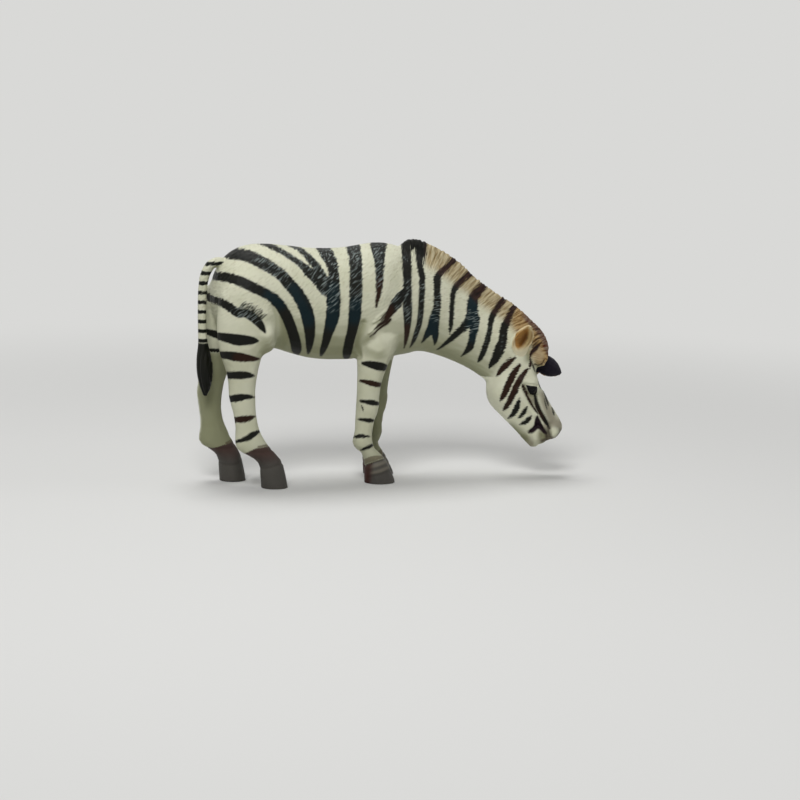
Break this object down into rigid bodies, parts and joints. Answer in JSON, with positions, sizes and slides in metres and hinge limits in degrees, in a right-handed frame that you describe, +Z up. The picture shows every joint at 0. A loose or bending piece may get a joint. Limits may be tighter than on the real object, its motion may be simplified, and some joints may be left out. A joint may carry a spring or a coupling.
{
  "type": "toy wild animal figure",
  "caption": "Solid plastic zebra figure that stands on its hooves and grazes, its head low and turned a little to its right.",
  "frame": {"origin": "on the ground under the middle of the figure's overall box", "axes": "+X from the tail to the head, +Y to the animal's left, +Z up from the soles to the back"},
  "size_m": [0.1336, 0.0336, 0.0846],
  "materials": {
    "coat": "painted, semi-gloss, cream with near-black stripes",
    "mane": "painted, semi-gloss, tan with near-black bars",
    "ears": "painted, semi-gloss, brown inside and dark outside",
    "tail": "painted, semi-gloss, near-black"
  },
  "bodies": {
    "root": {"torso": "coat", "neck_and_head": "coat", "mane": "mane", "right_ear": "ears", "left_ear": "ears", "front_right_leg": "coat", "front_left_leg": "coat", "hind_right_leg": "coat", "hind_left_leg": "coat", "tail": "tail"}
  },
  "joints": []
}
